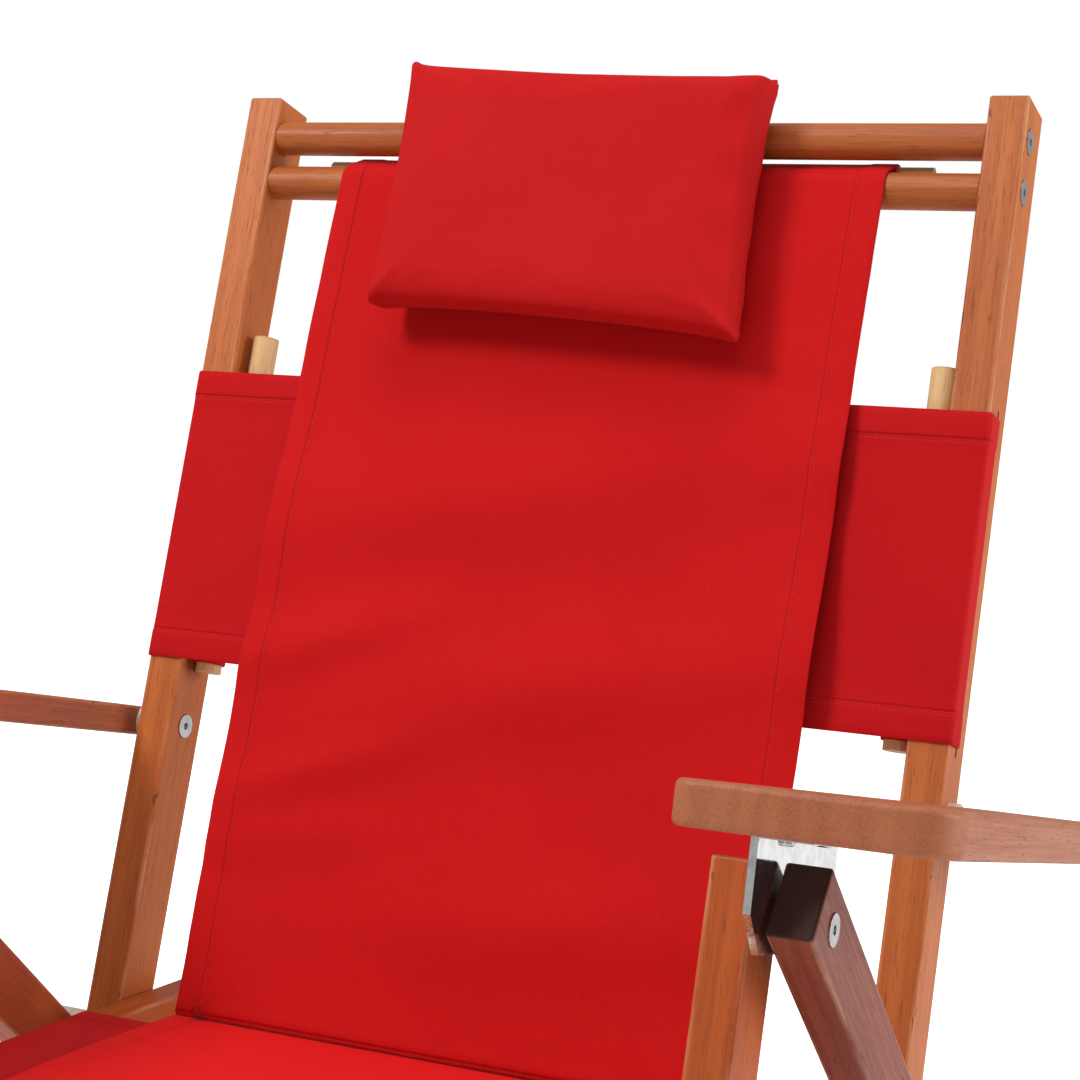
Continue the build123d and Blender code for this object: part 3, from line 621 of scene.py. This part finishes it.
# a closed thin mesh round a middle surface: points along its length, and side across it
def sewSheet(name, points, side, half, cloth, lift, edge):
    run = lengthsOf(points)
    hem = cloth["hem"]
    inner = half - hem
    spread = max(hemCut["fewest"], round(2 * inner / cloth["step"]))
    right = [inner + hemCut["line"]] + [inner + hem * share for share in hemCut["inside"]]
    right += [half - hemCut["lip"], half]
    columns = [-u for u in reversed(right)] + steps(-inner, inner, spread) + right
    thick = cloth["thick"]
    doubled = cloth["hemThick"]
    rows = [min(run, key=lambda v: abs(v - row)) for row in cloth["rows"]]
    places = []
    flats = []
    sewn = []
    for i, point in enumerate(points):
        before = points[max(i - 1, 0)]
        after = points[min(i + 1, len(points) - 1)]
        normal = side.cross((after - before).normalized()).normalized()
        v = run[i]
        atEnd = hemCut["thin"] if i in (0, len(points) - 1) else 1.0
        for u in columns:
            rise = soft(abs(u), inner - hemCut["easeIn"], inner + hemCut["easeOut"])
            depth = thick + (doubled - thick) * rise
            depth *= hemCut["thin"] if abs(u) == half else 1.0
            depth *= atEnd
            middle = point + side * (u * edge(u, v)) + normal * lift(u, v)
            places.append((middle + normal * depth / 2, middle - normal * depth / 2))
            flats.append((u, v))
            lines = [(abs(abs(u) - inner), v)] + [(abs(v - row), u) for row in rows]
            sewn.append(min(lines))
    wide = len(columns)
    total = len(places)
    verts = [pair[0] for pair in places] + [pair[1] for pair in places]
    faces = []
    for i in range(len(points) - 1):
        for j in range(wide - 1):
            a = i * wide + j
            quad = (a, a + 1, a + wide + 1, a + wide)
            faces.append(quad)
            faces.append(tuple(total + k for k in reversed(quad)))
    rim = list(range(wide))
    rim += [i * wide + wide - 1 for i in range(1, len(points))]
    rim += [(len(points) - 1) * wide + j for j in range(wide - 2, -1, -1)]
    rim += [i * wide for i in range(len(points) - 2, 0, -1)]
    for a, b in zip(rim, rim[1:] + rim[:1]):
        faces.append((b, a, total + a, total + b))
    mesh = bpy.data.meshes.new(name)
    mesh.from_pydata(verts, [], faces)
    clothMap = mesh.uv_layers.new(name="cloth")
    seamMap = mesh.uv_layers.new(name="seams")
    for loop in mesh.loops:
        k = loop.vertex_index % total
        clothMap.data[loop.index].uv = flats[k]
        seamMap.data[loop.index].uv = sewn[k]
    piece = bpy.data.objects.new(name, mesh)
    bpy.context.scene.collection.objects.link(piece)
    tidyNormals(piece)
    return piece, run[-1]


def tidyNormals(piece):
    bpy.ops.object.select_all(action="DESELECT")
    piece.select_set(True)
    bpy.context.view_layer.objects.active = piece
    bpy.ops.object.mode_set(mode="EDIT")
    bpy.ops.mesh.select_all(action="SELECT")
    bpy.ops.mesh.normals_make_consistent(inside=False)
    bpy.ops.object.mode_set(mode="OBJECT")
    bpy.ops.object.shade_smooth_by_angle(angle=math.radians(hemCut["smooth"]))
    piece.select_set(False)


# the slings: panel, over the bar, then the pocket round the rod;
# y is out of the back and z towards the bar
slingCut = {
    "halfWidth": 0.208,
    "thick": 0.0012,
    "barRadius": 0.0135,     # bar's radius, a small gap and half the cloth
    "rodPlace": 0.016,       # behind and past the bar's centre
    "rodRadius": 0.0075,
    "touch": 119.6,          # where the cloth leaves the bar and meets the rod's pocket, in degrees
    "pocketTurn": 318,
    "barSteps": 7,
    "pocketSteps": 26,
    "thirds": (0.33, 0.66),
}


def slingPath(barCentre, crease, tail, bow, count):
    radius = slingCut["barRadius"]
    meet = (barCentre[0] - radius, barCentre[1])
    low, high = slingCut["thirds"]
    path = [(crease[0] + tail[0] * t, crease[1] + tail[1] * t) for t in (1.0, high, low)]
    for t in steps(0.0, 1.0, count):
        y = crease[0] + (meet[0] - crease[0]) * t - bow * 4 * t * (1 - t)
        path.append((y, crease[1] + (meet[1] - crease[1]) * t))
    touch = slingCut["touch"]
    path += bend(barCentre, radius, 180, touch, slingCut["barSteps"])[1:]
    rodCentre = (barCentre[0] + slingCut["rodPlace"], barCentre[1] + slingCut["rodPlace"])
    turned = touch - slingCut["pocketTurn"]
    pocket = bend(rodCentre, slingCut["rodRadius"], touch, turned, slingCut["pocketSteps"])
    startY, startZ = path[-1]
    endY, endZ = pocket[0]
    for t in slingCut["thirds"]:
        path.append((startY + (endY - startY) * t, startZ + (endZ - startZ) * t))
    return path + pocket


backSling = {
    "step": 0.0075, "thick": slingCut["thick"], "hem": 0.019, "hemThick": 0.0024,
    "crease": (-0.02773, -0.19816),
    "tail": (0.0055, -0.0040),     # seam allowance turned under at the crease
    "bow": 0.003,
    "count": 100,
    "rows": [0.0080],
    "panel": 0.62,                 # length that the waves run over
    "ripple": 0.0036,
    "seed": 3.0,
    "least": -0.0020,
    "edge": (2.0, 0.006),          # seed, and share of the half width that the edge draws in by
    "blend": 0.12,                 # of the back above the crease that bends with the seat
    # soft folds: middle across and up the cloth, half sizes, rise to the right, height
    "folds": [
        (-0.03, 0.395, 0.20, 0.042, 0.16, 0.0100),
        (0.03, 0.250, 0.20, 0.036, 0.20, 0.0090),
        (-0.15, 0.160, 0.07, 0.022, 0.15, 0.0040),
        (0.07, 0.095, 0.14, 0.036, 0.10, 0.0085),
        (-0.15, 0.325, 0.08, 0.020, 0.35, 0.0065),
        (-0.14, 0.230, 0.08, 0.018, 0.35, 0.0060),
    ],
}


# where the waves die out at each end, in metres, their turns per metre across and along, and heights
waves = {
    "fadeIn": (0.015, 0.07), "fadeOut": (0.07, 0.01),
    "wide": (1.6, 7.5), "fine": (4.0, 17.0), "fineShare": 0.45, "fineSeed": 5,
    "pucker": 0.0008, "puckerTurns": 42.0, "puckerFrom": (0.150, 0.188), "sides": (2.0, 9.0),
    "edgeTurns": 9.0, "edgeSides": (1.0, 4.0),
}


# soft folds and waves that run across the cloth, dying out at its ends, with puckers along the hems
def rippler(cut):
    panel = cut["panel"]
    seed = cut["seed"]
    outFrom, outTo = waves["fadeOut"]

    def lift(u, v):
        fade = soft(v, *waves["fadeIn"]) * (1 - soft(v, panel - outFrom, panel - outTo))
        wideU, wideV = waves["wide"]
        fineU, fineV = waves["fine"]
        wave = noise.noise((u * wideU + seed, v * wideV, seed))
        wave += waves["fineShare"] * noise.noise((u * fineU, v * fineV, seed + waves["fineSeed"]))
        wave *= cut["ripple"]
        for across, up, wide, tall, rise, height in cut["folds"]:
            off = (v - up - rise * u) / tall
            wave += height * math.exp(-off * off - ((u - across) / wide) ** 2)
        side = waves["sides"][0] if u > 0 else waves["sides"][1]
        pucker = waves["pucker"] * noise.noise((seed, v * waves["puckerTurns"], side))
        wave += pucker * soft(abs(u), *waves["puckerFrom"])
        return max(wave, cut["least"]) * fade
    return lift


def edgeOf(seed, pull):
    def edge(u, v):
        side = waves["edgeSides"][0] if u > 0 else waves["edgeSides"][1]
        return 1.0 - pull * (0.5 + 0.5 * noise.noise((seed, v * waves["edgeTurns"], side)))
    return edge


def slingShape(barCentre, cut):
    return slingPath(barCentre, cut["crease"], cut["tail"], cut["bow"], cut["count"])


path = slingShape((railBack, slingBarUp), backSling)
points = [onBack(0, y, z) for y, z in path]
across = Vector((1, 0, 0))
lift = rippler(backSling)
edge = edgeOf(*backSling["edge"])
piece, length = sewSheet("backSling", points, across, slingCut["halfWidth"], backSling, lift, edge)
dress(piece, finishCloth("sling"))
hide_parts("back_sling")
creaseY, creaseZ = backSling["crease"]
bendFrom = onBack(0, creaseY, creaseZ)
bendTo = onBack(0, creaseY, creaseZ + backSling["blend"])
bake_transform(piece)
print("back sling", round(length, 3))

seatSling = {
    "step": 0.0075, "thick": slingCut["thick"], "hem": 0.019, "hemThick": 0.0020,
    "crease": (-0.0300, 0.0440),
    "tail": (0.0065, -0.0012),
    "bow": 0.003,
    "count": 52,
    "rows": [0.0085],
    "panel": 0.33,
    "ripple": 0.0011,
    "seed": 8.0,
    "least": 0.0,
    "edge": (7.0, 0.004),
    "folds": [(0.05, 0.12, 0.14, 0.04, 0.1, 0.0022), (-0.06, 0.22, 0.14, 0.045, -0.1, 0.0018)],
}
forwardBar = (seatBarDown, -seatBarAlong)
path = slingShape(forwardBar, seatSling)
points = [onSeat(0, y, -z) for y, z in path]
lift = rippler(seatSling)
edge = edgeOf(*seatSling["edge"])
piece, length = sewSheet("seatSling", points, -across, slingCut["halfWidth"], seatSling, lift, edge)
dress(piece, finishCloth("seat"))
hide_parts("seat_sling")
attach(piece, "seat_frame")
print("seat sling", round(length, 3))


# the bands: across two members, round their outer faces, in through the slots and round a rod each side
bandCut = {
    "step": 0.009, "thick": slingCut["thick"], "hem": 0.0195, "hemThick": 0.0022, "rows": [],
    "corner": 0.003, "slotCorner": 0.0014, "rodRadius": 0.0105, "edge": 0.006,
    "panelSteps": 30, "cornerSteps": 6, "sideSteps": 4, "slotSteps": 5,
    "pocketFrom": 10, "pocketTo": 346, "pocketSteps": 30, "meet": 0.0016,
    "wave": 0.0006, "waveAcross": 12.0, "waveAlong": 5.0, "calmFrom": 0.02, "calmOver": 0.04,
}
bands = {
    "backBand": {
        "node": "back_band", "body": "back_frame", "place": onBack, "seed": 11.0,
        "outer": 0.2990, "panel": -0.0010, "slot": 0.0210, "rod": 0.2598,
        "low": 0.0467, "high": 0.2625,
        "rests": ["left_back_post", "right_back_post"],
    },
    "seatBand": {
        "node": "seat_band", "body": "seat_frame", "place": onSeat, "seed": 17.0,
        "outer": 0.2698, "panel": -0.0270, "slot": -0.0040, "rod": 0.2326,
        "low": -0.2770, "high": -0.0620,
        "rests": ["left_seat_rail", "right_seat_rail"],
    },
}


# half of a band's route in x and y, from the middle of the chair to the pocket's end
def bandRoute(band):
    corner = bandCut["corner"]
    tight = bandCut["slotCorner"]
    outer = band["outer"]
    panel = band["panel"]
    slot = band["slot"]
    reach = band["rod"] + bandCut["rodRadius"] + bandCut["meet"]
    route = [(x, panel) for x in steps(0.0, outer - corner, bandCut["panelSteps"])]
    route += bend((outer - corner, panel + corner), corner, -90, 0, bandCut["cornerSteps"])[1:]
    route += [(outer, y) for y in steps(panel + corner, slot - tight, bandCut["sideSteps"])[1:]]
    route += bend((outer - tight, slot - tight), tight, 0, 90, bandCut["slotSteps"])[1:]
    route += [(x, slot) for x in steps(outer - tight, reach, bandCut["slotSteps"])[1:]]
    pocket = (bandCut["pocketFrom"], bandCut["pocketTo"], bandCut["pocketSteps"])
    return route + bend((band["rod"], slot), bandCut["rodRadius"], *pocket)


def bandLift(band):
    inward = band["rod"] - bandCut["calmFrom"]
    middle = (band["high"] - band["low"]) / 2

    def lift(u, v):
        x = abs(v - band["half"])
        free = 1 - soft(x, inward - bandCut["calmOver"], inward)
        ripple = noise.noise((u * bandCut["waveAcross"], v * bandCut["waveAlong"], band["seed"]))
        return bandCut["wave"] * ripple * free * (1 - (u / middle) ** 2)
    return lift


bandCanvas = finishCloth("band")
for name, band in bands.items():
    route = bandRoute(band)
    route = [(-x, y) for x, y in reversed(route[1:])] + route
    middle = (band["low"] + band["high"]) / 2
    points = [band["place"](x, y, middle) for x, y in route]
    band["half"] = lengthsOf(points)[-1] / 2
    side = (band["place"](0, 0, 0) - band["place"](0, 0, 1)).normalized()
    half = (band["high"] - band["low"]) / 2
    edge = edgeOf(band["seed"], bandCut["edge"])
    piece, length = sewSheet(name, points, side, half, bandCut, bandLift(band), edge)
    dress(piece, bandCanvas)
    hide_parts(band["node"])
    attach(piece, band["body"])
    print(name, round(length, 3))


pillow = {
    "width": 0.277,
    "height": 0.188,
    "depth": 0.050,
    "shift": (-0.008, -0.001, 0.0075),
    "columns": 72,
    "rows": 52,
    "clear": 0.0004,        # how far past half the depth the back may swell
    "pullSides": 0.018,     # share of the half width that the sides draw in by
    "pullEnds": 0.030,
    "ear": 0.0040,          # corners standing out
    "earRound": 0.0100,
    "seamRear": 0.00,       # share of the half depth that the seam sits behind the middle
    "seamTop": 0.42,        # further back at the top, forward at the foot
    "skewTop": 0.006,       # the right side hangs lower
    "skewFoot": 0.008,
    "squareSides": 26,      # higher is more like a box
    "squareEnds": 19,
    "squareFoot": 6,        # the back tapers to the foot
    "power": 0.34,
    "plump": 0.93,          # share of the half depth that the middle fills
    "slump": 0.08,          # uneven filling, and a little more of it at the foot
    "slumpTurns": (1.7, 1.3, 6.0),
    "slumpFoot": 0.04,
    "earSharp": (12, 16),   # higher keeps the corners' standing out nearer to them
    "dent": 0.10,           # down the right side
    "dentFrom": (0.84, 0.94),
    "dentTurns": 13.0,
    "lean": 0.003,          # top to the left, foot to the right
    "quality": 6,
    "mass": 0.3,
    "stretch": 18,
    "stiff": 0.8,
    "pressure": 5.0,
    "frames": 20,
    "cap": 0.0026,          # most that a point may move
    "seam": 0.0014,
    "lip": 0.0050,          # stitched lip standing up along the top
    "lipStart": 4,          # columns from each side where it begins
    "crisp": 0.75,          # how sharp the seam stays when the cover is smoothed
}
pillowMiddle = middleOf("pillow")
onPillow = placer(leans["pillow"], pillowMiddle, 0, 0)
right, rear, up = pillow["shift"]
pillowAlong, pillowOut = directions(leans["pillow"])


# a place on the cover: p across and q up, each from -1 to 1, and way is -1 in front and 1 behind
def pillowPoint(p, q, way):
    ear = pillow["ear"]
    sharpX, sharpZ = pillow["earSharp"]
    reachX = pillow["width"] / 2 * (1 - pillow["pullSides"] * (1 - q * q)) + ear * abs(q) ** sharpX
    reachZ = pillow["height"] / 2 * (1 - pillow["pullEnds"] * (1 - p * p)) + ear * abs(p) ** sharpZ
    x = reachX * p
    z = reachZ * q
    # the corners are rounded off
    r = pillow["earRound"]
    inX = 1 - (reachX - abs(x)) / r
    inZ = 1 - (reachZ - abs(z)) / r
    if inX > 0 and inZ > 0:
        x = math.copysign(reachX - r + r * inX * math.sqrt(1 - inZ * inZ / 2), x)
        z = math.copysign(reachZ - r + r * inZ * math.sqrt(1 - inX * inX / 2), z)
    x -= pillow["lean"] * q
    foot = pillow["skewFoot"]
    top = pillow["skewTop"]
    z -= p * ((foot + top) / 2 - q * (foot - top) / 2)
    ends = pillow["squareFoot"] if way == 1 and q < 0 else pillow["squareEnds"]
    full = max((1 - abs(p) ** pillow["squareSides"]) * (1 - abs(q) ** ends), 0.0) ** pillow["power"]
    turnX, turnZ, seed = pillow["slumpTurns"]
    uneven = noise.noise((p * turnX, q * turnZ, seed + way))
    slump = 1 + pillow["slump"] * uneven - pillow["slumpFoot"] * q
    rows = 0.5 + 0.5 * math.sin(q * pillow["dentTurns"])
    dent = 1 - pillow["dent"] * soft(p, *pillow["dentFrom"]) * rows
    filled = way * pillow["plump"] * full * slump * dent
    seam = (pillow["seamRear"] + pillow["seamTop"] * q) * (1 - full)
    return x, pillow["depth"] / 2 * (filled + seam), z


def sewPillow():
    quarter = math.pi / 2
    across = [math.sin(a) for a in steps(-quarter, quarter, pillow["columns"])]
    upward = [math.sin(a) for a in steps(-quarter, quarter, pillow["rows"])]
    wide = len(across)
    tall = len(upward)
    verts = []
    index = {}
    flats = []
    for way in (-1, 1):
        for j, q in enumerate(upward):
            for i, p in enumerate(across):
                onEdge = i in (0, wide - 1) or j in (0, tall - 1)
                if onEdge and way == 1:
                    index[way, i, j] = index[-1, i, j]
                    continue
                x, y, z = pillowPoint(p, q, 0 if onEdge else way)
                index[way, i, j] = len(verts)
                verts.append(onPillow(x + right, y + rear, z + up))
                flats.append((x, z))
    faces = []
    for way in (-1, 1):
        for j in range(tall - 1):
            for i in range(wide - 1):
                corners = [(i, j), (i + 1, j), (i + 1, j + 1), (i, j + 1)]
                quad = [index[way, column, row] for column, row in corners]
                faces.append(quad if way == -1 else quad[::-1])
    mesh = bpy.data.meshes.new("headPillow")
    mesh.from_pydata(verts, [], faces)
    flat = mesh.uv_layers.new(name="cloth")
    rows = mesh.uv_layers.new(name="seams")
    halfZ = pillow["height"] / 2
    lip = pillow["lip"] / 2
    topVerts = {index[-1, i, tall - 1] for i in range(pillow["lipStart"], wide - pillow["lipStart"])}
    for face in mesh.polygons:
        for loop in face.loop_indices:
            x, z = flats[mesh.loops[loop].vertex_index]
            flat.data[loop].uv = (x, z)
            onTop = mesh.loops[loop].vertex_index in topVerts
            rows.data[loop].uv = (-lip if onTop else lip + max(halfZ - z - lip, 0.0), x)
    piece = bpy.data.objects.new("headPillow", mesh)
    bpy.context.scene.collection.objects.link(piece)
    seam = {index[-1, i, j] for i in range(wide) for j in (0, tall - 1)}
    seam |= {index[-1, i, j] for i in (0, wide - 1) for j in range(tall)}
    return piece, seam, topVerts


# air pressure inside the cover, then the movement is capped
def inflate(piece):
    start = [vertex.co.copy() for vertex in piece.data.vertices]
    bpy.ops.object.select_all(action="DESELECT")
    piece.select_set(True)
    bpy.context.view_layer.objects.active = piece
    bpy.ops.object.modifier_add(type="CLOTH")
    cloth = piece.modifiers[-1]
    cloth.settings.quality = pillow["quality"]
    cloth.settings.mass = pillow["mass"]
    cloth.settings.tension_stiffness = pillow["stretch"]
    cloth.settings.compression_stiffness = pillow["stretch"]
    cloth.settings.bending_stiffness = pillow["stiff"]
    cloth.settings.use_pressure = True
    cloth.settings.uniform_pressure_force = pillow["pressure"]
    cloth.settings.effector_weights.gravity = 0
    cloth.point_cache.frame_end = pillow["frames"]
    for step in range(1, pillow["frames"] + 1):
        bpy.context.scene.frame_set(step)
    bpy.ops.object.modifier_apply(modifier=cloth.name)
    bpy.context.scene.frame_set(1)
    for vertex, was in zip(piece.data.vertices, start):
        moved = vertex.co - was
        if moved.length > pillow["cap"]:
            vertex.co = was + moved.normalized() * pillow["cap"]


piece, seamVerts, topVerts = sewPillow()
inflate(piece)
limit = pillow["depth"] / 2 + pillow["clear"]
for vertex in piece.data.vertices:
    off = vertex.co - pillowMiddle
    back = off.dot(pillowOut)
    if back > limit:
        vertex.co -= pillowOut * (back - limit)
    if vertex.index in seamVerts:
        spread = off - pillowOut * back
        vertex.co += spread.normalized() * pillow["seam"]
    if vertex.index in topVerts:
        vertex.co += pillowAlong * (pillow["lip"] - pillow["seam"])
creases = piece.data.attributes.new("crease_edge", "FLOAT", "EDGE")
for edge in piece.data.edges:
    onSeam = edge.vertices[0] in seamVerts and edge.vertices[1] in seamVerts
    creases.data[edge.index].value = pillow["crisp"] if onSeam else 0.0
bpy.ops.object.select_all(action="DESELECT")
piece.select_set(True)
bpy.context.view_layer.objects.active = piece
bpy.ops.object.modifier_add(type="SUBSURF")
piece.modifiers[-1].levels = 1
piece.modifiers[-1].render_levels = 1
bpy.ops.object.modifier_apply(modifier=piece.modifiers[-1].name)
tidyNormals(piece)
dress(piece, finishCloth("pillow"))
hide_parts("pillow")
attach(piece, "pillow")
print("pillow")

# two cloth loops from the pillow's back round the upper rail
loops = {
    "spacing": 0.084, "half": 0.019, "radius": 0.0136, "from": 142, "turns": 40,
    "tab": 0.0052, "tabRise": 0.002,
    "step": 0.005, "thick": slingCut["thick"], "hem": 0.004, "hemThick": 0.0018, "rows": [],
}
railMiddle = middleOf("upper_back_rail")
railUp = (railMiddle - onBack(0, 0, 0)).dot(directions(leans["back"])[0])
loopPath = bend((railBack, railUp), loops["radius"], loops["from"], -loops["from"], loops["turns"])
firstY, firstZ = loopPath[0]
lastY, lastZ = loopPath[-1]
loopPath = [(firstY - loops["tab"], firstZ + loops["tabRise"])] + loopPath
loopPath.append((lastY - loops["tab"], lastZ - loops["tabRise"]))
for way in (-1, 1):
    points = [onBack(way * loops["spacing"], y, z) for y, z in loopPath]
    strip, length = sewSheet(
        "pillowLoop", points, across, loops["half"], loops, lambda u, v: 0.0, lambda u, v: 1.0
    )
    dress(strip, bandCanvas)
    strip.name = "pillowLoopRight" if way > 0 else "pillowLoopLeft"
    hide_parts("pillow_loops")
    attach(strip, "pillow")
print("pillow loops", round(length, 3))
